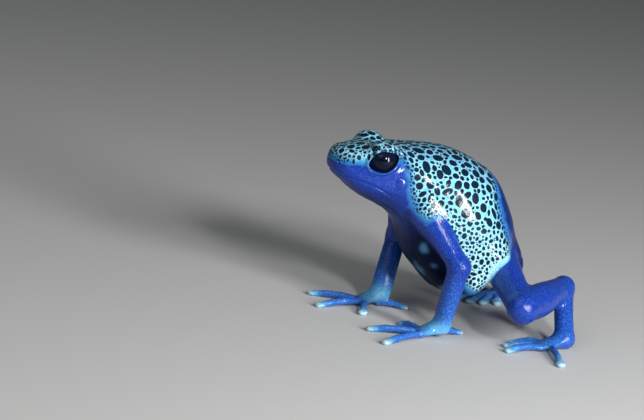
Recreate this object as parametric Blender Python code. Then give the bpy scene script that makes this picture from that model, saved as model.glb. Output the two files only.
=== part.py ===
"""A blue poison dart frog at life size, standing high on its arms, parted into named solids.

The frog faces -X, its left side is towards -Y, and its toes and fingers rest on the plane Z = 0.
Every length in the tables is in millimetres; MM turns it into Blender's metres when a mesh is made.
"""
from math import cos, pi, radians, sin

import bmesh
import bpy
import numpy as np
from mathutils import Vector

MM = 0.001
GAP = 0.3              # clear space between two nodes that meet

# Head and trunk: one body of unlike sections, set square to a centre line in the plane Y = 0.
# x, z of the centre line, half width, height above it, depth below it, and the exponent of the
# section's superellipse: 2 is an ellipse, more is squarer.
BODY_STATIONS = (
    (-22.4, 28.9, 3.0, 2.3, 2.3, 2.4),
    (-20.2, 28.7, 4.3, 2.8, 3.0, 2.5),
    (-17.5, 28.3, 5.6, 3.8, 4.4, 2.7),
    (-14.5, 27.6, 6.5, 4.7, 5.2, 2.7),
    (-11.5, 26.7, 7.1, 6.0, 5.5, 2.5),
    (-8.5, 25.4, 7.7, 7.8, 5.8, 2.3),
    (-5.5, 23.8, 8.6, 9.5, 6.7, 2.2),
    (-2.5, 21.8, 9.5, 10.7, 8.4, 2.2),
    (0.3, 19.5, 9.9, 11.3, 9.8, 2.25),
    (3.0, 17.2, 9.9, 10.5, 10.2, 2.35),
    (5.6, 15.0, 9.4, 8.9, 10.4, 2.35),
    (8.0, 12.9, 8.4, 7.4, 9.3, 2.3),
    (10.9, 10.4, 6.8, 6.2, 6.7, 2.1),
)
SNOUT_ROUND = 2.4      # length over which the snout closes
TAIL_ROUND = 5.6       # length over which the trunk closes behind the belly
NECK_AT = 0.40         # where the head ends, as a share of the centre line

# The rump runs down from the hump of the back to the vent: x, z, radius.
RUMP = ((4.6, 23.2, 4.2), (7.6, 19.8, 4.3), (9.9, 15.7, 4.2), (12.0, 12.4, 4.0), (12.9, 11.0, 3.7))

# Head: the right side's places, of which the left side is the mirror image. A place on the skin is
# a bearing round the upright line at HEAD_POLE_X, in degrees from straight ahead, and a height.
HEAD_POLE_X = -12.5
EYE_CENTRE = (-13.8, 4.3, 30.1)
EYE_RADIUS = 2.45
LID_THICK = 0.32
EYE_LONG = 5.0         # length of the opening between the lids
EYE_HIGH = 3.6         # height of the opening
EYE_TILT = 16.0        # degrees that the opening rises towards the back
EYE_FACING = (-0.26, 1.0, 0.0)
EYE_ALMOND = 1.75      # exponent of the opening's superellipse: under 2 it comes to two corners
EAR_BEARING, EAR_HEIGHT = 101.0, 26.6
EAR_RADIUS = 1.05
EAR_THICK = 0.8
EAR_SUNK = 0.24        # how far the middle of the eardrum lies under the skin
NOSTRIL_BEARING, NOSTRIL_HEIGHT = 19.0, 28.8
NOSTRIL_RADIUS = 0.32
MOUTH = ((0, 27.1), (10, 27.0), (21, 26.7), (41, 26.4), (61, 25.8), (80, 24.9), (92, 24.1))
MOUTH_ROUND = 0.24     # radius of the groove between the lips
LIP_ROUND = 0.6        # radius of the upper lip
LIP_PROUD = 0.14       # how far the upper lip stands out of the skin

# Limbs: where the joints are, and each bone's half width and half thickness at shares of its length.
LIMB_JOINTS = {
    "left": {
        "shoulder": (-5.4, -6.4, 21.8), "elbow": (-0.2, -12.2, 13.6),
        "wrist": (-1.3, -10.2, 2.3), "palm": (-4.9, -9.9, 0.85),
        "hip": (10.6, -1.6, 13.0), "knee": (9.8, -18.8, 8.4), "ankle": (22.2, -6.9, 8.9),
        "heel": (20.5, -14.3, 1.7), "sole": (14.8, -15.8, 0.62),
    },
    "right": {
        "shoulder": (-5.6, 6.2, 21.6), "elbow": (-3.7, 11.7, 12.5),
        "wrist": (-6.8, 8.0, 2.3), "palm": (-10.4, 7.8, 0.85),
        "hip": (10.6, 1.6, 13.0), "knee": (4.0, 17.5, 7.4), "ankle": (18.2, 8.2, 6.9),
        "heel": (21.6, 15.6, 1.7), "sole": (16.0, 14.0, 0.62),
    },
}
ARM = (
    ("upper_arm", "shoulder", "elbow", ((0, 3.0, 3.0), (0.4, 2.3, 2.3), (0.75, 1.9, 1.95), (1, 1.8, 1.85))),
    ("forearm", "elbow", "wrist", ((0, 1.8, 1.85), (0.35, 1.9, 1.8), (0.8, 1.95, 1.6), (1, 1.8, 1.4))),
    ("hand", "wrist", "palm", ((0, 1.75, 1.35), (0.6, 2.0, 0.95), (1, 1.75, 0.8))),
)
LEG = (
    ("thigh", "hip", "knee", ((0, 3.6, 3.4), (0.4, 3.0, 3.1), (0.75, 2.6, 2.7), (1, 2.45, 2.5))),
    ("shank", "knee", "ankle", ((0, 2.45, 2.5), (0.35, 2.95, 3.0), (0.7, 2.4, 2.5), (1, 1.9, 2.0))),
    ("tarsus", "ankle", "heel", ((0, 1.85, 1.95), (0.5, 1.7, 1.75), (1, 1.75, 1.6))),
    ("foot", "heel", "sole", ((0, 1.6, 1.5), (0.45, 1.7, 0.85), (1, 1.6, 0.62))),
)

# Digits from the innermost: root and tip as (forward, inward) from the end of the palm or the sole,
# and the radius of the stem.
FINGERS = (((-3.2, 0.7), (-8.0, 2.6), 0.56), ((-0.3, 1.1), (1.9, 6.3), 0.56),
           ((0.4, 0.35), (8.9, 1.8), 0.60), ((0.1, -0.9), (7.7, -5.7), 0.58))
TOES = (((-1.9, 0.9), (0.2, 4.4), 0.52), ((-0.7, 0.9), (3.0, 3.6), 0.52),
        ((0.3, 0.7), (5.2, 2.2), 0.54), ((0.4, -0.35), (6.6, -0.3), 0.56),
        ((-2.6, -0.7), (1.5, -9.2), 0.56))
DIGIT_ARCH = ((0.0, 0.70), (0.3, 0.90), (0.62, 0.80), (0.86, 0.50), (1.0, 0.40))  # share, height
PAD_HALF_WIDTH = 0.95
PAD_HALF_THICK = 0.44
PAD_LENGTH = 1.5

BODY_SIDES, RUMP_SIDES, LIMB_SIDES, DIGIT_SIDES = 32, 20, 14, 8
BODY_STEPS = 8         # points worked out between two stations of the body
BONE_RINGS = 7
END_TURNS = np.radians([74, 37])   # the rings that round off a limb's end, as angles of a quarter circle
MERGE = 1e-7           # metres within which two points are one

SKIN_BLUE = (0.02, 0.07, 0.55, 1.0)
BACK_BLUE = (0.10, 0.55, 0.80, 1.0)
EYE_BLACK = (0.01, 0.01, 0.015, 1.0)


def material(name, colour, roughness):
    made = bpy.data.materials.new(name)
    made.use_nodes = True
    shader = made.node_tree.nodes["Principled BSDF"]
    shader.inputs["Base Color"].default_value = colour
    shader.inputs["Roughness"].default_value = roughness
    shader.inputs["Metallic"].default_value = 0.0
    return made


def unit(vector):
    vector = np.asarray(vector, float)
    return vector / np.linalg.norm(vector, axis=-1, keepdims=True)


def smooth_rows(rows, steps):
    """A Catmull-Rom curve through the rows of a table, with steps points to each span."""
    rows = np.array(rows, float)
    ends = np.vstack([2 * rows[0] - rows[1], rows, 2 * rows[-1] - rows[-2]])
    t = np.linspace(0, 1, steps, endpoint=False)[:, None]
    spans = []
    for first in range(len(rows) - 1):
        a, b, c, d = ends[first:first + 4]
        spans.append(0.5 * (2 * b + (c - a) * t + (2 * a - 5 * b + 4 * c - d) * t ** 2
                            + (3 * b - a - 3 * c + d) * t ** 3))
    return np.vstack(spans + [rows[-1:]])


def object_of(name, mesh, colour):
    """An object with a material joins the frog's parts, and one without is a cutter or filler."""
    obj = bpy.data.objects.new(name, mesh)
    if colour:
        mesh.materials.append(colour)
        parts.objects.link(obj)
    else:
        cutters.objects.link(obj)
        obj.display_type = "WIRE"
        obj.hide_render = True
    return obj


def tidy(mesh):
    """Joins points that coincide and turns every face outwards."""
    work = bmesh.new()
    work.from_mesh(mesh)
    bmesh.ops.remove_doubles(work, verts=work.verts, dist=MERGE)
    bmesh.ops.recalc_face_normals(work, faces=work.faces)
    work.to_mesh(mesh)
    work.free()


def loft(name, rings, colour=None):
    """A closed skin over rings of equal count, with a flat face over the first and the last."""
    count, sides = rings.shape[:2]
    faces = [(i * sides + j, i * sides + (j + 1) % sides,
              (i + 1) * sides + (j + 1) % sides, (i + 1) * sides + j)
             for i in range(count - 1) for j in range(sides)]
    faces += [tuple(range(sides)), tuple((count - 1) * sides + j for j in range(sides))]
    mesh = bpy.data.meshes.new(name)
    mesh.from_pydata((rings.reshape(-1, 3) * MM).tolist(), [], faces)
    tidy(mesh)
    return object_of(name, mesh, colour)


def section(centres, across, through, half_across, half_up, half_down, sides, power):
    """Rounded rings: superellipses of the given power with their own height above and below."""
    angles = np.linspace(0, 2 * pi, sides, endpoint=False)
    c, s = np.cos(angles), np.sin(angles)
    bend = 2 / np.broadcast_to(power, len(centres))[:, None]
    c = np.sign(c) * np.abs(c) ** bend
    s = np.sign(s) * np.abs(s) ** bend
    rise = np.where(s > 0, half_up[:, None], half_down[:, None]) * s
    return (centres[:, None] + across[:, None] * (half_across[:, None] * c)[..., None]
            + through[:, None] * rise[..., None])


def tube(name, path, half_across, half_through, sides, colour=None):
    """A loft along a path, its sections ellipses that keep level, with rounded ends."""
    along = unit(np.gradient(path, axis=0))
    side = np.cross(along, [0.0, 0.0, 1.0])
    steep = np.linalg.norm(side, axis=1) < 0.3
    side[steep] = np.cross(along[steep], [1.0, 0.0, 0.0])
    side = unit(side)
    through = np.cross(side, along)
    depth = np.minimum(half_across, half_through)[[0, -1], None] * np.sin(END_TURNS)
    lead = path[0] - along[0] * depth[0][:, None]
    tail = path[-1] + along[-1] * depth[1][::-1, None]
    shrink = np.r_[np.cos(END_TURNS), np.ones(len(path)), np.cos(END_TURNS[::-1])]
    ends = (len(END_TURNS), len(END_TURNS))
    half_across, half_through = (np.pad(half, ends, "edge") * shrink for half in (half_across, half_through))
    side, through = (np.pad(way, (ends, (0, 0)), "edge") for way in (side, through))
    rings = section(np.vstack([lead, path, tail]), side, through,
                    half_across, half_through, half_through, sides, 2.0)
    return loft(name, rings, colour)


def ball(name, centre, radius, thick=None, facing=(0, 0, 1), segments=20, rings=12, colour=None):
    """A ball, or a lens-shaped disc of the given thickness whose flat sides face along facing."""
    mesh = bpy.data.meshes.new(name)
    work = bmesh.new()
    bmesh.ops.create_uvsphere(work, u_segments=segments, v_segments=rings, radius=radius * MM)
    bmesh.ops.scale(work, vec=(1, 1, (thick or 2 * radius) / (2 * radius)), verts=work.verts)
    work.to_mesh(mesh)
    work.free()
    obj = object_of(name, mesh, colour)
    obj.location = Vector(centre) * MM
    obj.rotation_euler = Vector((0, 0, 1)).rotation_difference(Vector(facing)).to_euler()
    return obj


def bar(name, points, radius):
    """A round bar along points: a curve with a bevel and filled caps, made a closed mesh."""
    curve = bpy.data.curves.new(name, "CURVE")
    curve.dimensions = "3D"
    curve.bevel_depth = radius * MM
    curve.bevel_resolution = 1
    curve.use_fill_caps = True
    spline = curve.splines.new("POLY")
    spline.points.add(len(points) - 1)
    for point, place in zip(spline.points, points):
        point.co = (*(Vector(place) * MM), 1.0)
    bent = bpy.data.objects.new(name, curve)
    cutters.objects.link(bent)
    mesh = bpy.data.meshes.new_from_object(bent.evaluated_get(bpy.context.evaluated_depsgraph_get()))
    bpy.data.objects.remove(bent)
    tidy(mesh)
    return object_of(name, mesh, None)


def settle(obj):
    """Applies an object's modifiers."""
    mesh = bpy.data.meshes.new_from_object(obj.evaluated_get(bpy.context.evaluated_depsgraph_get()))
    obj.modifiers.clear()
    obj.data = mesh


def grown(obj, by):
    """A cutter with obj's shape and its surface moved outwards."""
    twin = object_of(obj.name + "_grown", obj.data.copy(), None)
    push = twin.modifiers.new("grow", "DISPLACE")
    push.strength = by * MM
    push.mid_level = 0.0
    settle(twin)
    return twin


def keep_largest(obj):
    """Keeps only the closed surface with the most volume."""
    work = bmesh.new()
    work.from_mesh(obj.data)
    bmesh.ops.remove_doubles(work, verts=work.verts, dist=MERGE)
    bmesh.ops.triangulate(work, faces=work.faces)
    left = set(work.faces)
    shells = []
    while left:
        edge_of_growth = [left.pop()]
        shell = list(edge_of_growth)
        while edge_of_growth:
            beside = {face for edge in edge_of_growth.pop().edges for face in edge.link_faces} & left
            left -= beside
            shell += beside
            edge_of_growth += beside
        shells.append(shell)

    def volume(shell):
        corners = ([vert.co for vert in face.verts] for face in shell)
        return abs(sum(a.dot(b.cross(c)) for a, b, c in corners))

    for shell in sorted(shells, key=volume)[:-1]:
        bmesh.ops.delete(work, geom=shell, context="FACES")
    work.to_mesh(obj.data)
    work.free()


def combine(obj, others, operation):
    """One Boolean of obj with closed objects, applied; the others are then removed."""
    group = bpy.data.collections.new("combined")
    bpy.context.scene.collection.children.link(group)
    for other in others:
        group.objects.link(other)
    change = obj.modifiers.new("combine", "BOOLEAN")
    change.operation = operation
    change.operand_type = "COLLECTION"
    change.collection = group
    change.solver = "EXACT"
    settle(obj)
    for other in others:
        bpy.data.objects.remove(other)
    bpy.data.collections.remove(group)
    keep_largest(obj)


def cut_by_plane(obj, point, normal):
    """Takes away what lies on the side that normal points to, and closes the cut."""
    work = bmesh.new()
    work.from_mesh(obj.data)
    everything = work.verts[:] + work.edges[:] + work.faces[:]
    cut = bmesh.ops.bisect_plane(work, geom=everything, dist=MERGE / 10, plane_co=Vector(point) * MM,
                                 plane_no=Vector(normal), clear_outer=True)
    rim = [item for item in cut["geom_cut"] if isinstance(item, bmesh.types.BMEdge)]
    bmesh.ops.holes_fill(work, edges=rim, sides=0)
    bmesh.ops.recalc_face_normals(work, faces=work.faces)
    work.to_mesh(obj.data)
    work.free()


def body_form(extra, colour=None):
    """The loft of head and trunk, larger by extra all round, and its neck's place and direction."""
    rows = smooth_rows(BODY_STATIONS, BODY_STEPS)
    centres = np.c_[rows[:, 0], np.zeros(len(rows)), rows[:, 1]]
    along = unit(np.gradient(centres, axis=0))
    run = np.r_[0, np.cumsum(np.linalg.norm(np.diff(centres, axis=0), axis=1))]
    shut = np.sqrt(1 - np.clip(1 - run / SNOUT_ROUND, 0, 1) ** 2)
    shut *= np.sqrt(1 - np.clip(1 - (run[-1] - run) / TAIL_ROUND, 0, 1) ** 2)
    width, rise, drop = (rows[:, 2:5] * np.maximum(shut, 0.02)[:, None] + extra).T
    across = np.tile([0.0, 1.0, 0.0], (len(rows), 1))
    rings = section(centres, across, np.cross(along, across), width, rise, drop, BODY_SIDES, rows[:, 5])
    last = len(rows) - 1
    kept = np.r_[0, 1, 2, 4, np.arange(7, last - 9, 4), last - np.array([8, 5, 3, 2, 1, 0])]
    neck = int(NECK_AT * last)
    return loft("body", rings[kept], colour), centres[neck], along[neck]


def rump_form(extra):
    rows = smooth_rows(RUMP, 3)
    path = np.c_[rows[:, 0], np.zeros(len(rows)), rows[:, 1]]
    return tube("rump", path, rows[:, 2] + extra, rows[:, 2] + extra, RUMP_SIDES)


def build_body():
    """Head and torso: one body cut at the neck, with the rump joined to the torso."""
    head, neck, facing = body_form(0.0, back_skin)
    torso = body_form(0.0, back_skin)[0]
    head.name, torso.name = "head", "torso"
    cut_by_plane(head, neck - facing * GAP / 2, facing)
    cut_by_plane(torso, neck + facing * GAP / 2, -facing)
    combine(torso, [rump_form(0.0)], "UNION")
    return head


def on_skin(head, bearing, height, side=1):
    """Where the head's surface lies at a bearing and a height, and which way it faces there."""
    angle = radians(bearing)
    outwards = Vector((-cos(angle), side * sin(angle), 0))
    start = (Vector((HEAD_POLE_X, 0, height)) + outwards * 30) * MM
    _, place, facing, _ = head.ray_cast(start, -outwards)
    return place / MM, facing


def eye_opening(eye, side):
    """An almond-sectioned bar from the eye's middle outwards, which opens the lids."""
    facing = Vector(EYE_FACING) * Vector((1, side, 1))
    tilt = radians(EYE_TILT)
    long_way = Vector((cos(tilt), 0, sin(tilt)))
    high_way = unit(facing.cross(long_way))
    centres = np.array([eye, eye + facing * 2 * EYE_RADIUS])
    half_long, half_high = np.full(2, EYE_LONG / 2), np.full(2, EYE_HIGH / 2)
    rings = section(centres, np.tile(long_way, (2, 1)), np.tile(high_way, (2, 1)),
                    half_long, half_high, half_high, 24, EYE_ALMOND)
    return loft("opening", rings)


def mouth_forms(head):
    """The upper lip, a bar sunk in the skin, and the groove under it."""
    half = smooth_rows(MOUTH, 2)
    line = [on_skin(head, bearing, height, side)
            for side, rows in ((-1, half[::-1]), (1, half[1:])) for bearing, height in rows]
    above = Vector((0, 0, LIP_ROUND))
    lip = [place + facing * (LIP_PROUD - LIP_ROUND) + above for place, facing in line]
    return bar("lip", lip, LIP_ROUND), bar("mouth", [place for place, _ in line], MOUTH_ROUND)


def build_head(head):
    """Eyes, lids, nostrils, ears, the upper lip and the line of the mouth."""
    lip, mouth = mouth_forms(head)
    swellings, hollows, sockets = [lip], [mouth], []
    for word, side in (("left", -1), ("right", 1)):
        eye = Vector(EYE_CENTRE) * Vector((1, side, 1))
        ball(f"eye_{word}", eye, EYE_RADIUS, colour=eye_black)
        swellings.append(ball("lids", eye, EYE_RADIUS + GAP + LID_THICK))
        sockets.append(ball("socket", eye, EYE_RADIUS + GAP))
        hollows.append(eye_opening(eye, side))
        nostril, _ = on_skin(head, NOSTRIL_BEARING, NOSTRIL_HEIGHT, side)
        hollows.append(ball("nostril", nostril, NOSTRIL_RADIUS, segments=8, rings=6))
        ear, facing = on_skin(head, EAR_BEARING, EAR_HEIGHT, side)
        ear -= facing * EAR_SUNK
        ball(f"tympanum_{word}", ear, EAR_RADIUS, EAR_THICK, facing, 14, 7, back_skin)
        hollows.append(ball("ear_hollow", ear, EAR_RADIUS + GAP, EAR_THICK + 2 * GAP, facing, 14, 7))
    combine(head, swellings, "UNION")
    combine(head, hollows, "DIFFERENCE")
    combine(head, sockets, "DIFFERENCE")


def build_bone(name, start, end, profile):
    """One length of a limb from joint to joint, rounded off past both."""
    shares = np.linspace(0, 1, BONE_RINGS)
    at, half_width, half_thick = np.array(profile).T
    path = start + (end - start) * shares[:, None]
    return tube(name, path, np.interp(shares, at, half_width), np.interp(shares, at, half_thick), LIMB_SIDES, skin)


def build_digit(name, palm, forward, inward, spec):
    """A finger or toe: a thin stem that arches from the palm and ends in a flat round pad."""
    root, tip, radius = spec
    root, tip = (palm[:2] + forward * ahead + inward * aside for ahead, aside in (root, tip))
    shares, heights = smooth_rows(DIGIT_ARCH, 2).T
    path = np.c_[root + (tip - root) * shares[:, None], heights]
    from_tip = (1 - shares) * np.linalg.norm(tip - root) / PAD_LENGTH
    pad = np.clip(1 - np.abs(from_tip - 0.35) / 0.65, 0, 1)
    half_width = radius + (PAD_HALF_WIDTH - radius) * pad * pad * (3 - 2 * pad)
    half_thick = radius + (PAD_HALF_THICK - radius) * np.clip(1.3 * (1 - from_tip), 0, 1)
    return tube(name, path, half_width, half_thick, DIGIT_SIDES, skin)


def build_limb(word, side, bones, digits, label):
    """An arm or a leg with its digits, parted at the joints by planes that halve each bend."""
    joints = {name: np.array(place) for name, place in LIMB_JOINTS[word].items()}
    lengths = [build_bone(f"{name}_{word}", joints[start], joints[end], profile)
               for name, start, end, profile in bones]
    combine(lengths[0], [body_form(GAP)[0], rump_form(GAP)], "DIFFERENCE")
    ways = [unit(joints[end] - joints[start]) for _, start, end, _ in bones]
    for number in range(1, len(bones)):
        joint = joints[bones[number][1]]
        normal = unit(ways[number - 1] + ways[number])
        cut_by_plane(lengths[number - 1], joint - normal * GAP / 2, normal)
        cut_by_plane(lengths[number], joint + normal * GAP / 2, -normal)
    forward = unit(ways[-1][:2])
    inward = np.array([-forward[1], forward[0]]) * side
    for number, spec in enumerate(digits, 1):
        digit = build_digit(f"{label}_{word}_{number}", joints[bones[-1][2]], forward, inward, spec)
        combine(digit, [grown(lengths[-1], GAP)], "DIFFERENCE")
        cut_by_plane(digit, (0, 0, 0), (0, 0, -1))


def stand_on_origin():
    """Hangs every node on one empty, which brings the middle of the frog's box over the origin."""
    frog = bpy.data.objects.new("frog", None)
    parts.objects.link(frog)
    bpy.context.view_layer.update()
    corners = np.array([node.matrix_world @ vert.co for node in parts.objects if node.type == "MESH"
                        for vert in node.data.vertices])
    middle = (corners.min(axis=0) + corners.max(axis=0)) / 2
    frog.location = (-middle[0], -middle[1], 0.0)
    for node in parts.objects:
        if node.type == "MESH":
            node.parent = frog


for old in list(bpy.data.objects):
    bpy.data.objects.remove(old)
parts = bpy.data.collections.new("blue_poison_dart_frog")
cutters = bpy.data.collections.new("cutters")
for collection in (parts, cutters):
    bpy.context.scene.collection.children.link(collection)
skin = material("leg_skin", SKIN_BLUE, 0.3)
back_skin = material("back_skin", BACK_BLUE, 0.3)
eye_black = material("eye", EYE_BLACK, 0.05)

build_head(build_body())
for word, side in (("left", -1), ("right", 1)):
    build_limb(word, side, ARM, FINGERS, "finger")
    build_limb(word, side, LEG, TOES, "toe")
stand_on_origin()
for node in parts.objects:
    if node.type == "MESH":
        node.data.shade_smooth()
        node.data.set_sharp_from_angle(angle=radians(40))
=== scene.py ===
"""The looks of a blue poison dart frog at life size: one wet, spotted skin over its solids, and two eyes.

Lengths are in millimetres in the frog's own frame: it faces -X, its left side is towards -Y and it
stands on Z = 0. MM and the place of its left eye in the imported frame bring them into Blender's metres.
The skin is the zero surface of a distance worked out with numpy from nearly the same driving sizes as
the solids: lofts and tubes that flow into one another, with lids, lips, nostrils and eardrums.
"""

import bmesh
import bpy
import numpy as np
from mathutils import Matrix, Vector
from mathutils.bvhtree import BVHTree


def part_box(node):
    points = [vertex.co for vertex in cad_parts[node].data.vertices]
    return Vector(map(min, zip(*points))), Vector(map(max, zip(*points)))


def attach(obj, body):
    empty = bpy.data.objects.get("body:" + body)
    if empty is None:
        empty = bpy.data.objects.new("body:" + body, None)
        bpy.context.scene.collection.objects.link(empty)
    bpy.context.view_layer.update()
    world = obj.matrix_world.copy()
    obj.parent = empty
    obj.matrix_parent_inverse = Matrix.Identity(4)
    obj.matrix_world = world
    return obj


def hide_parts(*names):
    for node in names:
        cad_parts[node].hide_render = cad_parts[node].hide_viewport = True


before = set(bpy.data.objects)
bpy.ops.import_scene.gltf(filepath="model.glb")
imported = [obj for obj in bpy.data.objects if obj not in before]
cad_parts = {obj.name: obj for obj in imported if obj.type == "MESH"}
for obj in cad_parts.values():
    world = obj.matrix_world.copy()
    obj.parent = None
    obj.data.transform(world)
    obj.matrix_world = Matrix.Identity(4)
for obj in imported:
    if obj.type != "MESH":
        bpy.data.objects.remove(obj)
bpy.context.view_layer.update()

MM = 0.001
FAR = 4.0              # distances are worked out up to here, and are this beyond it
SEED = 7
FULL_TURN = 6.3        # in radians, rounded
WAVES = 14             # how many sine waves make a random field

# Head and trunk: x, z of the centre line, half width, height above it, depth below it, and the power
# of the section's superellipse.
BODY_STATIONS = (
    (-22.4, 28.9, 3.0, 2.3, 2.3, 2.4), (-20.2, 28.7, 4.3, 2.8, 3.0, 2.5), (-17.5, 28.3, 5.6, 3.8, 4.4, 2.7),
    (-14.5, 27.6, 6.5, 4.7, 5.2, 2.7), (-11.5, 26.7, 7.1, 6.0, 5.5, 2.5), (-8.5, 25.4, 7.7, 7.8, 5.8, 2.3),
    (-5.5, 23.8, 8.6, 9.5, 6.7, 2.2), (-2.5, 21.8, 9.5, 10.7, 8.4, 2.2), (0.3, 19.5, 9.9, 11.3, 9.8, 2.25),
    (3.0, 17.2, 9.9, 10.5, 10.2, 2.35), (5.6, 15.0, 9.4, 8.9, 10.4, 2.35), (8.0, 12.9, 8.4, 7.4, 9.3, 2.3),
    (10.9, 10.4, 6.8, 6.2, 6.7, 2.1),
)
SNOUT_ROUND, TAIL_ROUND = 2.4, 5.6
RUMP = ((4.6, 23.2, 4.2), (7.6, 19.8, 4.3), (9.9, 15.7, 4.2), (12.0, 12.4, 4.0), (12.9, 11.0, 3.7))
FOLD = ((3.8, 10.0), (5.8, 12.2), (7.8, 14.4))   # the flank's fold over the root of a leg, in x, z
FOLD_ASIDE, FOLD_HALF_WIDTH, FOLD_HALF_HIGH = 6.4, 4.1, 3.1

# Head, right side; a place on its skin is a bearing round the upright line at HEAD_POLE_X, and a height.
HEAD_POLE_X = -12.5
HEAD_END_X = -6.0      # nothing of the head's detail lies behind this
EYE_CENTRE = np.array([-13.8, 4.3, 30.1])
EYE_RADIUS = 2.6       # a little more than the solid's, to fill the long lids
EYE_FACING = np.array([-0.26, 1.0, 0.0])
EYE_LONG, EYE_HIGH, EYE_TILT, EYE_ALMOND = 5.3, 3.7, 21.0, 1.7
EYE_ROOM = 0.05        # between the eyeball and its socket
LID_OUT = 3.12         # radius of the lids' outer surface
EAR_BEARING, EAR_HEIGHT, EAR_RADIUS = 101.0, 26.6, 0.95
NOSTRIL_BEARING, NOSTRIL_HEIGHT, NOSTRIL_RADIUS = 19.0, 28.8, 0.28
MOUTH = ((0, 27.1), (10, 27.0), (21, 26.7), (41, 26.4), (61, 25.8), (80, 24.9), (92, 24.1))

# Limbs: the joints, each bone's half width and half thickness at shares of its length, and the digits.
LIMB_JOINTS = {
    "left": {
        "shoulder": (-5.4, -6.4, 21.8), "elbow": (-0.2, -12.2, 13.6),
        "wrist": (-1.3, -10.2, 2.3), "palm": (-4.9, -9.9, 0.85),
        "hip": (10.6, -1.6, 13.0), "knee": (9.8, -18.8, 8.4), "ankle": (22.2, -6.9, 8.9),
        "heel": (20.5, -14.3, 1.7), "sole": (14.8, -15.8, 0.62),
    },
    "right": {
        "shoulder": (-5.6, 6.2, 21.6), "elbow": (-3.7, 11.7, 12.5),
        "wrist": (-6.8, 8.0, 2.3), "palm": (-10.4, 7.8, 0.85),
        "hip": (10.6, 1.6, 13.0), "knee": (4.0, 17.5, 7.4), "ankle": (18.2, 8.2, 6.9),
        "heel": (21.6, 15.6, 1.7), "sole": (16.0, 14.0, 0.62),
    },
}
ARM = (
    ("upper_arm", "shoulder", "elbow", ((0, 3.0, 3.0), (0.4, 2.3, 2.3), (0.75, 1.9, 1.95), (1, 1.8, 1.85))),
    ("forearm", "elbow", "wrist", ((0, 1.8, 1.85), (0.35, 1.9, 1.8), (0.8, 1.95, 1.6), (1, 1.8, 1.4))),
    ("hand", "wrist", "palm", ((0, 1.75, 1.35), (0.6, 2.0, 0.95), (1, 1.75, 0.8))),
)
LEG = (
    ("thigh", "hip", "knee", ((0, 3.6, 3.4), (0.4, 3.0, 3.1), (0.75, 2.6, 2.7), (1, 2.45, 2.5))),
    ("shank", "knee", "ankle", ((0, 2.45, 2.5), (0.35, 2.95, 3.0), (0.7, 2.4, 2.5), (1, 1.9, 2.0))),
    ("tarsus", "ankle", "heel", ((0, 1.85, 1.95), (0.5, 1.7, 1.75), (1, 1.75, 1.6))),
    ("foot", "heel", "sole", ((0, 1.6, 1.5), (0.45, 1.7, 0.85), (1, 1.6, 0.62))),
)
FINGERS = (((-3.2, 0.7), (-8.0, 2.6), 0.56), ((-0.3, 1.1), (1.9, 6.3), 0.56),
           ((0.4, 0.35), (8.9, 1.8), 0.60), ((0.1, -0.9), (7.7, -5.7), 0.58))
TOES = (((-1.9, 0.9), (0.2, 4.4), 0.52), ((-0.7, 0.9), (3.0, 3.6), 0.52),
        ((0.3, 0.7), (5.2, 2.2), 0.54), ((0.4, -0.35), (6.6, -0.3), 0.56),
        ((-2.6, -0.7), (1.5, -9.2), 0.56))
DIGIT_ARCH = ((0.0, 0.70), (0.3, 0.90), (0.62, 0.80), (0.86, 0.50), (1.0, 0.40))
PAD_HALF_WIDTH, PAD_HALF_THICK, PAD_LENGTH = 0.95, 0.44, 1.5
KNUCKLE = 0.07         # how far a digit's joints stand out

UNEVEN = 0.03          # how far the skin's slow unevenness raises it

# How widely forms flow into one another.
TRUNK_FLOW, FOLD_FLOW, BONE_FLOW, DIGIT_FLOW, LID_FLOW = 2.5, 1.4, 1.1, 0.4, 1.1
ROOT_FLOW = {"arm": (2.0, 4.5), "leg": (1.6, 4.5)}   # at a limb's root, and how far from it that reaches

SKIN_LOW, SKIN_HIGH = np.array([-26.0, -27.0, -1.0]), np.array([27.0, 27.0, 35.5])
SKIN_STEP = 0.44       # spacing of the skin's points, halved where it carries detail

# The camera: the photo is PHOTO wide and high, and shows PIXEL millimetres to a pixel at AIM.
PHOTO = (644, 420)
PIXEL = 0.175
CAMERA_TURN, CAMERA_RISE, CAMERA_ROLL = -18.0, 14.0, 7.0
CAMERA_AWAY = 380.0
AIM = np.array([-21.95, 1.15, 19.19])
SENSOR = 36.0
FLOOR_HALF = 1500.0

# The pale, spotted zone in the frog's side view (x, z): its lower edge from the snout through the eye and
# down behind the arm to the belly, then its rear edge up to the top of the rump.
ZONE_FRONT = ((-27.0, 31.6), (-24.6, 30.7), (-23.4, 29.6), (-22.2, 29.1), (-20.8, 28.9), (-19.2, 29.0),
              (-17.6, 29.2), (-16.3, 29.2), (-13.8, 30.0), (-11.6, 30.6), (-10.5, 29.6), (-10.0, 28.9),
              (-9.6, 27.4), (-9.4, 25.9),
              (-8.8, 24.0), (-8.2, 22.4), (-7.2, 21.2), (-5.2, 20.0), (-3.2, 18.4), (-1.3, 15.8),
              (0.0, 12.8), (1.6, 9.8), (4.0, 8.0), (7.0, 7.5))
ZONE_REAR = ((10.3, 8.6), (11.6, 11.8), (12.0, 13.7), (11.2, 16.2), (9.9, 18.4), (9.0, 20.2), (8.2, 22.0),
             (7.7, 23.7), (7.4, 25.1), (7.7, 28.0))
ZONE_TOP = ((7.7, 40.0), (-27.0, 40.0))

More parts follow.
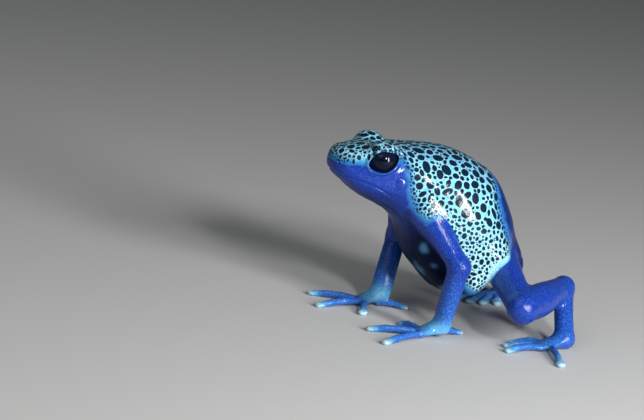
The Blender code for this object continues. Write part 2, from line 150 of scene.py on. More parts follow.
# Spots as read from the photo: column and row of the middle, half length and half width in the photo's
# pixels, and the slant of the length in degrees, down to the right.
SPOTS_SEEN = (
    (418.5, 150.5, 6, 2, 20), (411, 154.5, 3.8, 1.6, 37), (421, 157.5, 3.2, 2.3, 15),
    (428, 157, 1.8, 1.2, 20), (438, 158, 5, 2.5, 10), (440, 151, 3, 1, 15), (446, 155, 3, 1, 20),
    (465, 155, 3, 1, 20), (457, 157.5, 5.5, 2, 15), (426.5, 167, 5.8, 3.2, 75), (432.5, 162.5, 2, 1, 20),
    (416.7, 164.5, 1.5, 1.5, 0), (407, 168, 2.5, 2, 0), (422, 173, 3, 1.6, 70),
    (417.5, 177.5, 2.8, 2.6, 0), (419.5, 186, 3.3, 3, 0), (430.5, 185, 3.4, 3.2, 0),
    (435, 177.5, 1.5, 1.5, 0), (440, 174.5, 4.2, 2.9, 80), (446.5, 170, 5.6, 3.4, 50),
    (453, 163, 3.8, 2.2, 25), (440.5, 164.5, 1.2, 1, 90), (456.5, 169, 2.2, 2, 0),
    (456, 176, 2.9, 2.1, 35), (450.5, 178, 1.6, 1.2, 0), (463, 166, 2.2, 1.7, 20), (468, 165, 4, 2, 25),
    (465, 172.5, 3.6, 2.8, 50), (476, 173.5, 4.1, 2.5, 45), (472, 177, 2.2, 1.4, 70),
    (482, 180, 2.9, 2.4, 60), (475, 184.5, 3.6, 3.4, 0), (466.8, 185.5, 3.2, 2.5, 70),
    (490, 175.5, 3.4, 2.4, 45), (489, 188.5, 4, 2.4, 65), (484, 192.5, 2.5, 1.6, 60),
    (475.5, 198.5, 5, 3, 85), (483.5, 198.5, 1.6, 1.3, 0), (496, 197, 3.8, 1.6, 90),
    (491, 203, 2.4, 1.6, 70), (483.5, 208, 4.1, 2.9, 80), (477.5, 207.5, 1.7, 1.2, 0),
    (478, 216, 3.9, 2.5, 60), (473, 212.5, 1.3, 1.3, 0), (473, 219, 1.8, 1.4, 60),
    (470, 223.5, 2.4, 2.4, 0), (477, 223.5, 2.3, 1.6, 0), (482, 222.5, 1.3, 1.2, 0),
    (485.5, 219, 1.8, 1.6, 0), (489.5, 222.5, 4.2, 2.5, 60), (494, 213.5, 5.8, 1.3, 70),
    (498.5, 225.5, 3.6, 2, 80), (437.5, 191.5, 3.6, 2.2, 70), (441, 182.5, 1.4, 1.4, 0),
    (450.5, 203, 2.4, 1.7, 35), (443.5, 198.5, 1.6, 1.3, 0), (455.5, 211, 2.1, 1.2, 60),
    (450.7, 209.5, 1.4, 1.4, 0), (446.5, 215.5, 2, 1.8, 0), (454.5, 216.5, 2.4, 1.4, 10),
    (459.5, 220.5, 1.6, 1.2, 0), (444, 211, 1.2, 1.2, 0), (441.5, 216, 1.2, 1.2, 0),
    (457, 224.5, 1.8, 1.1, 50), (459, 226, 1.4, 1.4, 0), (452, 222, 1.6, 1.6, 0),
    (463.5, 225.5, 1.8, 0.9, 0), (464.5, 236, 2.8, 1.8, -60), (484, 231.5, 2.6, 2.2, 0),
    (478.5, 228.5, 2, 1.6, 0), (468.5, 231.5, 1.4, 1.4, 0), (472, 233.5, 1.5, 1.5, 0),
    (476.5, 234, 1.5, 1.5, 0), (459.7, 233, 1.6, 1.6, 0), (489, 231, 1.5, 1, 90), (494, 232.5, 2, 1, 80),
    (498, 232, 1.4, 1.4, 0), (501.8, 235.5, 2.8, 1.2, 80), (497, 238.5, 2.2, 1.2, 80),
    (490.5, 236, 1.8, 1, 90), (483, 237, 1.1, 1.1, 0), (480, 242, 1.4, 1.2, 0), (472.5, 243, 2, 1.4, 0),
    (463, 247.3, 1.3, 1.3, 0), (476.3, 249.7, 1.3, 1.3, 0), (471.7, 252, 1.3, 1.3, 0),
    (466.7, 250.7, 1.3, 1.3, 0), (473, 258, 2.4, 1.4, 90), (478, 257.5, 1.8, 1.3, 60),
    (483.3, 254.3, 1.8, 1, 80), (481.7, 262, 2.6, 1.6, -60), (475.3, 266.7, 2, 2, 0),
    (488, 262.7, 2, 1.2, -60), (482.3, 268.3, 1.2, 0.9, 0), (480, 272.3, 1.8, 1.3, 0),
    (487, 273.3, 1.6, 1, -30), (473.3, 274, 2.8, 1, 10), (469, 277, 1.5, 1.5, 0),
    (485.3, 278, 1.8, 1.1, -60), (480, 246, 1.2, 1.2, 0), (486, 244, 1.4, 1.1, 60),
    (488.7, 247.7, 1.2, 1.2, 0), (496, 246, 2.4, 1, 85), (500.3, 246, 2, 1.1, 85),
    (351, 146.5, 3.6, 2, -15), (360.5, 143.2, 4.1, 1.5, -3), (366, 147, 3.8, 2.3, -15),
    (375, 148.5, 3.2, 2.5, -60), (374, 142.6, 4.4, 0.9, 3), (379.5, 148, 2.8, 0.9, 90),
    (388, 146, 3.4, 1.1, 25), (395.5, 149.5, 2.4, 1.2, 60), (358, 148, 2.2, 0.9, 0),
    (341.5, 150.5, 2.6, 2, -50), (336, 150.5, 1.6, 1, 0), (360.5, 151.5, 1.3, 1.2, 0),
    (365, 152.5, 1.4, 1.2, 0), (349.5, 156, 1.5, 1.5, 0), (358.8, 157.5, 2, 1.8, 90),
    (369, 157, 2.8, 1, 90), (353.5, 161.5, 2.2, 0.8, 90), (371.5, 133, 3.8, 1.5, 20),
    (364, 135, 4.6, 1.4, -3), (405.5, 147.8, 3.8, 1.2, 25),
)
# Other spots: radius, and how many of it at most.
SPOT_SIZES = ((0.88, 20), (0.78, 40), (0.68, 60), (0.58, 80), (0.49, 110), (0.42, 150), (0.35, 420),
              (0.28, 500), (0.22, 900), (0.17, 1200), (0.13, 1500))
SPOT_GAP = (0.09, 0.18)
SPOT_GROWTH = 0.12     # how far the edges read from the photo lie inside the true ones
FULL_GROWTH = 0.5      # of spots with half this length or more
BIG_SPOT, HEAD_SPOT, FINE_SPOT = 0.90, 0.72, 0.36   # largest radii on the back, the head, the low flank
SMALLEST_SPOT = 0.16   # largest radius at the zone's border
PLAIN_BAND = 0.9       # width of the band without spots beside a thigh
SPOT_REACH = 1.5       # how far from a spot's edge its distance is worked out
NEVER_NOUGHT = 1e-4    # keeps the offset from a spot's middle from having no length

# How pale a limb is, from 0, deep blue, to 1, nearly white, by the bone's number plus the share along it.
LIMB_PALE = {"arm": ((0, 0), (1.0, 0.05), (1.6, 0.35), (1.85, 0.6), (2.0, 0.85), (2.5, 0.75),
                     (3.1, 0.42), (3.65, 0.45), (3.85, 0.9), (4, 1)),
             "leg": ((0, 0), (2.0, 0.1), (2.8, 0.2), (3.1, 0.35), (3.7, 0.45), (4.5, 0.45),
                     (4.8, 0.8), (5, 0.95))}
# Spots are small below this line, in x, z, and there are none near these places on the right side.
FINE_BELOW = ((-12, 26), (-8, 25.5), (-3, 23.0), (2, 19.5), (9, 18.0))
PLAIN_PATCHES = (((-5.2, 8.2, 20.6), 2.2), ((-18.0, 5.4, 29.9), 1.3))
# The belly's pale patches: the middle of each on the right side, and its half sizes.
BELLY_PATCHES = (((-5.2, 6.9, 15.2), (0.7, 1.0, 1.4)), ((-2.8, 7.3, 12.2), (0.6, 1.0, 0.7)),
                 ((-3.6, 3.2, 11.5), (1.6, 1.1, 2.2)), ((1.4, 4.6, 8.0), (1.7, 1.2, 1.6)))
CORNEA_RISE, CORNEA_SPREAD = 0.08, 0.55

DEEP_BLUE = (0.007, 0.033, 0.29, 1)
MID_BLUE = (0.016, 0.090, 0.42, 1)
SKY_BLUE = (0.09, 0.33, 0.60, 1)
TIP_WHITE = (0.42, 0.60, 0.68, 1)
NIGHT_BLUE = (0.004, 0.014, 0.10, 1)
AZURE = (0.018, 0.115, 0.38, 1)
EDGE_CYAN = (0.030, 0.185, 0.40, 1)
BACK_CYAN = (0.17, 0.57, 0.77, 1)
FLANK_CYAN = (0.31, 0.63, 0.70, 1)
RING_CYAN = (0.46, 0.74, 0.79, 1)
SPOT_BLACK = (0.002, 0.012, 0.030, 1)
# Painted shade on the zone's upward-facing skin.
TOP_PAINTED_SHADE_BLUE = (0.045, 0.26, 0.52, 1)
# The belly's own navy, deepened as painted shade, and also painted shade on the rump and throat.
BELLY_NAVY_AND_PAINTED_SHADE = (0.001, 0.004, 0.026, 1)
PATCH_BLUE = (0.06, 0.19, 0.38, 1)
EYE_BLACK = (0.001, 0.003, 0.012, 1)
EYE_BLUE = (0.002, 0.007, 0.024, 1)
EYE_VIOLET = (0.004, 0.004, 0.012, 1)
FLOOR_PALE = (0.55, 0.55, 0.54, 1)

# The studio: its air's colour and strength, and its soft boxes, each with its bearing and rise in degrees
# from the left side, its distance, width and height, and its power in watts.
AIR, AIR_STRENGTH = (0.9, 0.95, 1.0, 1), 0.08
LIT_PLACE = (0, 0, 15)
SOFTBOXES = {"key": (25, 17, 350, 62, 160, 1.45), "eye_light": (3, 28, 350, 36, 50, 0.6),
             "fill": (-60, 50, 500, 400, 400, 0.5)}


def unit(vector):
    vector = np.asarray(vector, float)
    return vector / np.linalg.norm(vector, axis=-1, keepdims=True)


def smooth_rows(rows, steps):
    """A Catmull-Rom curve through the rows of a table, with steps points to each span."""
    rows = np.array(rows, float)
    ends = np.vstack([2 * rows[0] - rows[1], rows, 2 * rows[-1] - rows[-2]])
    t = np.linspace(0, 1, steps, endpoint=False)[:, None]
    spans = []
    for first in range(len(rows) - 1):
        a, b, c, d = ends[first:first + 4]
        spans.append(0.5 * (2 * b + (c - a) * t + (2 * a - 5 * b + 4 * c - d) * t ** 2
                            + (3 * b - a - 3 * c + d) * t ** 3))
    return np.vstack(spans + [rows[-1:]])


def ease(x):
    """0 up to 0, 1 from 1, and a smooth slope between."""
    x = np.clip(x, 0, 1)
    return x * x * (3 - 2 * x)


def bell(x):
    """1 at nought, falling to nought on both sides as exp(-x squared)."""
    return np.exp(-np.minimum(np.square(x), 50.0))


def soft_min(a, b, flow):
    """The lesser of two distances; where they differ by less than flow it dips up to flow / 4 below it."""
    lean = np.clip(0.5 + 0.5 * (b - a) / flow, 0, 1)
    return b + (a - b) * lean - flow * lean * (1 - lean)


def soft_max(a, b, flow):
    """The greater of two distances, raised in the same way where they are nearly equal."""
    return -soft_min(-a, -b, flow)


def lay_tube(path, half_wide, half_thick):
    """A path with its half sizes and, at each point, the level way across it and the way through it."""
    along = unit(np.gradient(path, axis=0))
    side = np.cross(along, [0.0, 0.0, 1.0])
    steep = np.linalg.norm(side, axis=1) < 0.3
    side[steep] = np.cross(along[steep], [1.0, 0.0, 0.0])
    side = unit(side)
    return path, side, np.cross(side, along), half_wide, half_thick


def lay_bone(start, end, profile):
    """A straight tube from joint to joint, its half sizes a smooth curve through those of the profile."""
    start, end = np.array(start, float), np.array(end, float)
    rows = smooth_rows(profile, 3)
    path = start + (end - start) * rows[:, :1]
    return lay_tube(path, rows[:, 1], rows[:, 2])


def lay_digit(palm, forward, inward, spec):
    """A finger or toe: a thin stem that arches from the palm and ends in a flat round pad."""
    root, tip, radius = spec
    root, tip = (palm[:2] + forward * ahead + inward * aside for ahead, aside in (root, tip))
    shares, heights = smooth_rows(DIGIT_ARCH, 5).T
    path = np.c_[root + (tip - root) * shares[:, None], heights]
    from_tip = (1 - shares) * np.linalg.norm(tip - root) / PAD_LENGTH
    pad = ease(1 - np.abs(from_tip - 0.35) / 0.65)
    knuckles = KNUCKLE * (bell((shares - 0.36) / 0.06) + bell((shares - 0.66) / 0.05))
    half_thick = radius + (PAD_HALF_THICK - radius) * np.clip(1.3 * (1 - from_tip), 0, 1) + knuckles
    return lay_tube(path, radius + (PAD_HALF_WIDTH - radius) * pad + knuckles, half_thick)


def lay_limb(side_name, side, bones, digits):
    """The tubes of an arm or a leg: its bones, and its digits spread from the end of the last."""
    joints = {name: np.array(place) for name, place in LIMB_JOINTS[side_name].items()}
    lengths = [lay_bone(joints[start], joints[end], profile) for _, start, end, profile in bones]
    forward = unit((joints[bones[-1][2]] - joints[bones[-1][1]])[:2])
    inward = np.array([-forward[1], forward[0]]) * side
    return lengths, [lay_digit(joints[bones[-1][2]], forward, inward, spec) for spec in digits]


def tube_distance(points, tube):
    """Distance to a tube of elliptical section, and the share of its path at which a point's foot lies.
    The foot is the nearest place on the path. The offset from it is divided by the half sizes there, and
    the distance is the offset's length times (r - 1) / r, where r is the length of the divided offset."""
    path, side, through, wide, thick = tube
    distance, share = np.full(len(points), FAR), np.zeros(len(points))
    reach = FAR + max(wide.max(), thick.max())
    near = ((points > path.min(0) - reach) & (points < path.max(0) + reach)).all(axis=1)
    if not near.any():
        return distance, share
    ways = np.diff(path, axis=0)
    offset = points[near, None] - path[:-1]
    along = np.clip((offset * ways).sum(-1) / (ways ** 2).sum(-1), 0, 1)
    offset -= along[..., None] * ways
    span = (offset ** 2).sum(-1).argmin(axis=1)
    rows = np.arange(len(span))
    offset, along = offset[rows, span], along[rows, span]

    def at_foot(table):
        part = along if table.ndim == 1 else along[:, None]
        return table[span] * (1 - part) + table[span + 1] * part

    across, up = (offset * at_foot(side)).sum(1), (offset * at_foot(through)).sum(1)
    wide, thick = at_foot(wide), at_foot(thick)
    length2 = (offset ** 2).sum(1)
    past2 = np.maximum(length2 - across ** 2 - up ** 2, 0)
    r = np.sqrt((across / wide) ** 2 + (up / thick) ** 2 + past2 / np.minimum(wide, thick) ** 2) + 1e-6
    distance[near] = np.minimum((np.sqrt(length2) + 1e-6) * (r - 1) / r, FAR)
    share[near] = (span + along) / (len(path) - 1)
    return distance, share


SPINE = smooth_rows(BODY_STATIONS, 8)
SPINE_WAY = unit(np.gradient(SPINE[:, :2], axis=0))
SPINE_RUN = np.r_[0, np.cumsum(np.linalg.norm(np.diff(SPINE[:, :2], axis=0), axis=1))]


def along_spine(points):
    """How far along the centre line a point's foot is, how far above the line the point is, and the
    line's own row at the foot."""
    flat = points[:, ::2]
    nearest = ((flat[:, None] - SPINE[:, :2]) ** 2).sum(-1).argmin(axis=1)
    run = SPINE_RUN[nearest] + ((flat - SPINE[nearest, :2]) * SPINE_WAY[nearest]).sum(1)
    row = [np.interp(run, SPINE_RUN, column) for column in (*SPINE.T, *SPINE_WAY.T)]
    above = (flat[:, 1] - row[1]) * row[6] - (flat[:, 0] - row[0]) * row[7]
    return run, above, row


def trunk_distance(points):
    """Distance to the loft of head and trunk: a superellipse about the centre line, which closes as an
    ellipsoid over the last length of the snout and of the tail."""
    distance = np.full(len(points), FAR)
    near = np.abs(points[:, 1]) < 10 + FAR
    run, above, row = along_spine(points[near])
    across = np.abs(points[near, 1])
    wide, rise, drop, power = row[2:6]
    high = np.where(above > 0, rise, drop)
    r = ((across / wide) ** power + (np.abs(above) / high) ** power) ** (1 / power) + 1e-6
    scale = (np.hypot(across, above) + 1e-6) / r
    closing = np.maximum(1 - run / SNOUT_ROUND, 0) + np.maximum(1 - (SPINE_RUN[-1] - run) / TAIL_ROUND, 0)
    distance[near] = np.minimum(scale * (np.hypot(r, closing) - 1), FAR)
    return distance


def right_side(points):
    """Points of the left half moved to their mirror places in the right half."""
    return np.stack([points[:, 0], np.abs(points[:, 1]), points[:, 2]], axis=1)


def body_distance(points):
    """Distance to the trunk with the rump and the flanks' folds."""
    rump, _ = tube_distance(points, RUMP_TUBE)
    fold, _ = tube_distance(right_side(points), FOLD_TUBE)
    return soft_min(soft_min(trunk_distance(points), rump, TRUNK_FLOW), fold, FOLD_FLOW)


def on_head(bearing, height):
    """Where the right side of the plain head's surface lies at a bearing and a height, by halving the
    way between the pole and a point outside, and the direction it faces."""
    angle = np.radians(bearing)
    outwards = np.array([-np.cos(angle), np.sin(angle), 0.0])
    pole = np.array([HEAD_POLE_X, 0.0, height])
    inner, outer = 0.0, 20.0
    for _ in range(24):
        middle = (inner + outer) / 2
        inside = body_distance((pole + outwards * middle)[None])[0] < 0
        inner, outer = (middle, outer) if inside else (inner, middle)
    place = pole + outwards * inner
    return place, slope(body_distance, place[None])[1][0]


def slope(distance, points, step=0.01):
    """A distance and its gradient, from differences over a short step along each axis."""
    here = distance(points)
    ways = [(distance(points + offset) - here) / step for offset in np.eye(3) * step]
    return here, np.stack(ways, axis=1)


def eye_opening(eye):
    """How far places round the right eye's middle lie outside the almond between the lids, a superellipse
    of a power under 2, and how far ahead of the middle they are."""
    level = eye @ EYE_WAYS.T
    almond = ((np.abs(level[:, 0]) / (EYE_LONG / 2)) ** EYE_ALMOND
              + (np.abs(level[:, 1]) / (EYE_HIGH / 2)) ** EYE_ALMOND) ** (1 / EYE_ALMOND)
    return (almond - 1) * EYE_HIGH / 2, level[:, 2]


def head_detail(points, skin):
    """Lids, eye sockets, lips, nostrils and eardrums, as changes to the head's distance. Ridges and
    grooves are bell curves of the distance from a line: less distance raises the skin."""
    near = (points[:, 0] < HEAD_END_X) & (points[:, 2] > 18) & (np.abs(skin) < FAR)
    if not near.any():
        return skin
    p = right_side(points[near])
    d = skin[near]

    eye = p - EYE_CENTRE
    ball = np.linalg.norm(eye, axis=1)
    d = soft_min(d, ball - LID_OUT, LID_FLOW)

    bearing = np.degrees(np.arctan2(p[:, 1], HEAD_POLE_X - p[:, 0]))
    over = p[:, 2] - np.interp(bearing, *MOUTH_LINE)
    shut = 1 - ease((bearing - 86) / 12)
    lips = 0.05 * bell((over - 0.5) / 0.40) + 0.04 * bell((over + 0.5) / 0.35)
    d += (0.16 * bell(over / 0.18) - lips) * shut

    nostril = np.linalg.norm(p - NOSTRIL, axis=1)
    d -= 0.07 * bell((nostril - 0.42) / 0.18)
    d = soft_max(d, NOSTRIL_RADIUS - nostril, 0.12)

    ear = p - EAR
    deep = (ear * EAR_FACING).sum(1)
    ring = np.sqrt(np.maximum((ear ** 2).sum(1) - deep ** 2, 0))
    rim_less_drum = 0.09 * bell((ring - EAR_RADIUS) / 0.22) - 0.10 * bell(ring / 0.5)
    d += np.where(np.abs(deep) < 2, rim_less_drum, 0)

    beside, ahead = eye_opening(eye)
    front = ahead > 0
    d += np.where(front, 0.09 * bell((beside - 0.62) / 0.16) - 0.07 * bell((beside - 0.24) / 0.2), 0)
    hollow = np.minimum(ball - EYE_RADIUS - EYE_ROOM, np.maximum(beside, -ahead))
    d = soft_max(d, -hollow, 0.16)

    changed = skin.copy()
    changed[near] = d
    return changed


def limb_distance(points, limb):
    """Distance to a limb, and how far out on it a point is: the bone's number plus the share along it."""
    bones, digits = limb
    total, reach = tube_distance(points, bones[0])
    least = total.copy()
    for number, tube in enumerate(bones[1:] + digits, 1):
        number = min(number, len(bones))
        distance, share = tube_distance(points, tube)
        reach = np.where(distance < least, number + share, reach)
        least = np.minimum(distance, least)
        total = soft_min(total, distance, DIGIT_FLOW if number == len(bones) else BONE_FLOW)
    return total, reach


def ripple(points):
    """Slow unevenness of live skin, within about 1: a sum of sine waves in random directions."""
    draw = np.random.default_rng(SEED)
    total = np.zeros(len(points))
    for _ in range(WAVES):
        way = unit(draw.normal(size=3)) * 2 * np.pi / draw.uniform(1.6, 4.5)
        total += np.sin(points @ way + draw.uniform(0, FULL_TURN)) / 4
    return total


def skin_distance(points):
    """Distance to the whole skin, in blocks of points that keep the arrays small."""
    blocks = []
    for block in np.array_split(points, max(1, len(points) // 60000)):
        skin = head_detail(block, body_distance(block))
        skin = skin - UNEVEN * ripple(block)
        for (kind, _), limb in LIMBS.items():
            distance, _ = limb_distance(block, limb)
            flow, spread = ROOT_FLOW[kind]
            from_root = np.linalg.norm(block - limb[0][0][0][0], axis=1)
            skin = soft_min(skin, distance, 0.25 + (flow - 0.25) * bell(from_root / spread))
        blocks.append(skin)
    return np.concatenate(blocks)


def net_surface(distance, low, high, step):
    """The zero surface of a distance over a cubic grid. Each grid edge on which it changes sign is crossed
    where its two values say; each cube with crossings holds one point, their mean, and each crossed edge
    one face, between the four cubes round it. Only blocks of cubes near the surface are worked out."""
    block = 8
    blocks = np.ceil((high - low) / (step * block)).astype(int)
    place = low + (np.indices(blocks).reshape(3, -1).T + 0.5 - 0.5 / block) * step * block
    coarse = distance(place)
    near = np.abs(coarse) < step * block * 1.15
    inner = np.indices((block,) * 3).reshape(3, -1).T * step
    corner = np.argwhere(near.reshape(blocks)) * step * block + low
    values = np.repeat(coarse[:, None], block ** 3, axis=1)
    values[near] = distance((corner[:, None] + inner).reshape(-1, 3)).reshape(-1, block ** 3)
    values = values.reshape(*blocks, block, block, block).transpose(0, 3, 1, 4, 2, 5).reshape(blocks * block)

    shape = np.array(values.shape)
    turns, crossings = [], []
    for axis in range(3):
        one, two, three = np.roll(np.eye(3, dtype=int), -axis, axis=0)
        change = np.diff((values < 0).astype(np.int8), axis=axis)
        at = np.argwhere(change)
        leaving = change[tuple(at.T)] < 0
        a, b = values[tuple(at.T)], values[tuple((at + one).T)]
        crossings.append(np.repeat(at + (a / (a - b))[:, None] * one, 4, axis=0))
        cubes = at[:, None] - np.array([0 * one, two, two + three, three])
        turns.append(np.where(leaving[:, None, None], cubes, cubes[:, ::-1]))
    cubes = np.concatenate(turns).reshape(-1, 3)
    _, index = np.unique(np.ravel_multi_index(cubes.T, shape), return_inverse=True)
    total = np.stack([np.bincount(index, column) for column in np.concatenate(crossings).T], axis=1)
    return low + total / np.bincount(index)[:, None] * step, index.reshape(-1, 4)


def settle_on(distance, points, rounds=3):
    """Newton's steps onto the zero surface, along the gradient by the distance over its length."""
    for _ in range(rounds):
        here, way = slope(distance, points)
        steep = np.maximum(np.linalg.norm(way, axis=1), 0.3)
        points = points - (np.clip(here / steep, -0.2, 0.2) / steep)[:, None] * way
    return points


def even_out(distance, points, edges, rounds):
    """Moves each point towards the mean of its neighbours, but only along the surface."""
    for _ in range(rounds):
        ends = np.concatenate([edges, edges[:, ::-1]])
        count = np.bincount(ends[:, 0], minlength=len(points))
        mean = np.stack([np.bincount(ends[:, 0], points[ends[:, 1], axis], len(points))
                         for axis in range(3)], axis=1) / count[:, None]
        _, facing = slope(distance, points)
        facing = unit(facing)
        move = (mean - points) * 0.6
        points = points + move - (move * facing).sum(1)[:, None] * facing
    return points


def needs_detail(points):
    """Where the skin's points lie at half the spacing: the spotted zone, the digits, and round the eyes,
    mouth, nostrils and eardrums."""
    wanted = needs_fine_detail(points, 1.1)
    wanted |= (zone_depth(points) > -0.6) & (points[:, 2] > 6.5)
    for limb in LIMBS.values():
        for tube in limb[1]:
            wanted |= tube_distance(points, tube)[0] < 0.3
    return wanted


def needs_fine_detail(points, margin=0.0):
    """Where they lie at a quarter of it: the rims of the eyes, lips, nostrils and eardrums."""
    side = right_side(points)
    bearing = np.degrees(np.arctan2(side[:, 1], HEAD_POLE_X - side[:, 0]))
    over = side[:, 2] - np.interp(bearing, *MOUTH_LINE)
    wanted = (points[:, 0] < HEAD_END_X) & (np.abs(over) < 0.5 + margin) & (bearing < 97)
    eye = side - EYE_CENTRE
    on_rim = np.abs(eye_opening(eye)[0] - 0.1) < 0.45 + margin
    wanted |= on_rim & (np.linalg.norm(eye, axis=1) < 3.6 + margin)
    wanted |= np.abs(np.linalg.norm(side - EAR, axis=1) - EAR_RADIUS) < 0.45 + margin
    return wanted | (np.linalg.norm(side - NOSTRIL, axis=1) < 0.7 + margin)


def refine(mesh, where):
    """Splits every edge whose two ends are wanted, and with it the faces beside it."""
    wanted = where(read_points(mesh))
    work = bmesh.new()
    work.from_mesh(mesh)
    edges = [edge for edge in work.edges if wanted[edge.verts[0].index] and wanted[edge.verts[1].index]]
    bmesh.ops.subdivide_edges(work, edges=edges, cuts=1, use_grid_fill=True)
    work.to_mesh(mesh)
    work.free()


def read_points(mesh):
    points = np.empty(len(mesh.vertices) * 3)
    mesh.vertices.foreach_get("co", points)
    return points.reshape(-1, 3)


def read_edges(mesh):
    edges = np.empty(len(mesh.edges) * 2, int)
    mesh.edges.foreach_get("vertices", edges)
    return edges.reshape(-1, 2)


def blur(values, edges, rounds):
    """Takes each point's value half way to the mean of its neighbours', round after round."""
    ends = np.concatenate([edges, edges[:, ::-1]])
    count = np.bincount(ends[:, 0], minlength=len(values))
    for _ in range(rounds):
        values = (values + np.bincount(ends[:, 0], values[ends[:, 1]], len(values)) / count) / 2
    return values


def outline_depth(places, outline):
    """Distance inside a closed outline in a plane, negative outside: the least distance to its sides, and
    the sign by whether a level line from the place crosses an odd number of them."""
    way = np.roll(outline, -1, axis=0) - outline
    offset = places[:, None] - outline
    share = np.clip((offset * way).sum(-1) / (way ** 2).sum(-1), 0, 1)
    least = np.sqrt(((offset - share[..., None] * way) ** 2).sum(-1).min(axis=1))
    spanned = (offset[..., 1] < 0) != (offset[..., 1] < way[:, 1])
    level = np.where(way[:, 1] == 0, 1, way[:, 1])
    ahead = offset[..., 0] < offset[..., 1] / level * way[:, 0]
    return least * np.where((spanned & ahead).sum(axis=1) % 2, 1, -1)


def zone_depth(points):
    return outline_depth(points[:, ::2], ZONE_OUTLINE)


def away_from_left(turn, rise):
    """The direction straight out from the frog's left side, turned to its rear and raised by degrees."""
    turn, rise = np.radians([turn, rise])
    return np.array([np.sin(turn) * np.cos(rise), -np.cos(turn) * np.cos(rise), np.sin(rise)])


def camera_ways():
    """The camera's directions to its right, upwards and backwards."""
    turn, roll = np.radians([CAMERA_TURN, CAMERA_ROLL])
    back = away_from_left(CAMERA_TURN, CAMERA_RISE)
    right = np.array([np.cos(turn), np.sin(turn), 0.0])
    up = np.cross(back, right)
    return (right * np.cos(roll) + up * np.sin(roll), up * np.cos(roll) - right * np.sin(roll), back)


RUMP_ROWS = smooth_rows(RUMP, 4)
RUMP_TUBE = lay_tube(np.insert(RUMP_ROWS[:, :2], 1, 0.0, axis=1), RUMP_ROWS[:, 2], RUMP_ROWS[:, 2])
FOLD_ROWS = smooth_rows(FOLD, 4)
FOLD_TUBE = lay_tube(np.insert(FOLD_ROWS, 1, FOLD_ASIDE, axis=1), np.full(len(FOLD_ROWS), FOLD_HALF_WIDTH),
                     np.full(len(FOLD_ROWS), FOLD_HALF_HIGH))
MOUTH_LINE = smooth_rows(MOUTH, 4).T
ZONE_OUTLINE = np.vstack([smooth_rows(ZONE_FRONT, 4), smooth_rows(ZONE_REAR, 4), ZONE_TOP])
LONG_WAY = np.array([np.cos(np.radians(EYE_TILT)), 0.0, np.sin(np.radians(EYE_TILT))])
EYE_WAYS = unit([LONG_WAY - (LONG_WAY @ unit(EYE_FACING)) * unit(EYE_FACING),
                 np.cross(EYE_FACING, LONG_WAY), EYE_FACING])
NOSTRIL, _ = on_head(NOSTRIL_BEARING, NOSTRIL_HEIGHT)
EAR, EAR_FACING = on_head(EAR_BEARING, EAR_HEIGHT)
EAR_FACING = unit(EAR_FACING)
LIMBS = {(kind, word): lay_limb(word, side, bones, digits)
         for word, side in (("left", -1), ("right", 1))
         for kind, bones, digits in (("arm", ARM, FINGERS), ("leg", LEG, TOES))}
eye_low, eye_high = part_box("eye_left")
ORIGIN = np.array((eye_low + eye_high) / 2) / MM - EYE_CENTRE * [1, -1, 1]
RIGHT, UP, BACK = camera_ways()


def to_frame(points):
    return (np.asarray(points) + ORIGIN) * MM


def put_object(name, mesh):
    made = bpy.data.objects.new(name, mesh)
    bpy.context.scene.collection.objects.link(made)
    return made


def build_skin():
    """The skin's mesh, and its points and the directions that they face in the frog's own frame."""
    points, faces = net_surface(skin_distance, SKIN_LOW, SKIN_HIGH, SKIN_STEP)
    mesh = bpy.data.meshes.new("skin")
    mesh.from_pydata(points.tolist(), [], faces.tolist())
    points = settle_on(skin_distance, points, 2)
    points = even_out(skin_distance, points, read_edges(mesh), 2)
    mesh.vertices.foreach_set("co", settle_on(skin_distance, points, 1).ravel())
    for where in (needs_detail, needs_fine_detail):
        refine(mesh, where)
        points = settle_on(skin_distance, read_points(mesh), 2)
        points = even_out(skin_distance, points, read_edges(mesh), 1)
        points = settle_on(skin_distance, points, 1)
        mesh.vertices.foreach_set("co", points.ravel())
    _, facing = slope(skin_distance, points)
    points[:, 2] = np.maximum(points[:, 2], 0)
    mesh.vertices.foreach_set("co", to_frame(points).ravel())
    mesh.update()
    mesh.shade_smooth()
    return put_object("skin", mesh), points, unit(facing)


def cast_from_camera(tree, column, row):
    """Where the camera sees the skin at a place in the photo, or None."""
    from_middle = (column - PHOTO[0] / 2) * RIGHT - (row - PHOTO[1] / 2) * UP
    way = from_middle * PIXEL / CAMERA_AWAY - BACK
    place, _, _, _ = tree.ray_cast(Vector(to_frame(AIM + BACK * CAMERA_AWAY)), Vector(unit(way)))
    return None if place is None else np.array(place) / MM - ORIGIN


def seen_spots(tree):
    """The spots read from the photo. They are ellipses as the camera sees them, laid on the skin."""
    spots = []
    for column, row, half_long, half_short, slant in SPOTS_SEEN:
        middle = cast_from_camera(tree, column, row)
        if middle is None:
            continue
        scale = PIXEL * (CAMERA_AWAY - (middle - AIM) @ BACK) / CAMERA_AWAY
        c, s = np.cos(np.radians(slant)), np.sin(np.radians(slant))
        growth = SPOT_GROWTH * min(half_long * scale / FULL_GROWTH, 1)
        half_long, half_short = half_long * scale + growth, half_short * scale + growth
        spots.append((middle, np.array([(RIGHT * c - UP * s) / half_long, (RIGHT * s + UP * c) / half_short,
                                        BACK / (1.5 * half_long)]), half_long))
    return spots


def near_spot(points, spot):
    """The points near a spot and their distance to its edge, negative inside it. A spot is an ellipsoid:
    its middle, its three axes each divided by its half size that way, and its largest half size. The
    distance is the offset's length times (r - 1) / r, where r is the length of the offset so divided."""
    middle, ways, size = spot
    near = np.flatnonzero(np.abs(points - middle).max(axis=1) < SPOT_REACH + size)
    offset = points[near] - middle + NEVER_NOUGHT
    r = np.linalg.norm(offset @ ways.T, axis=1)
    return near, np.linalg.norm(offset, axis=1) * (r - 1) / r


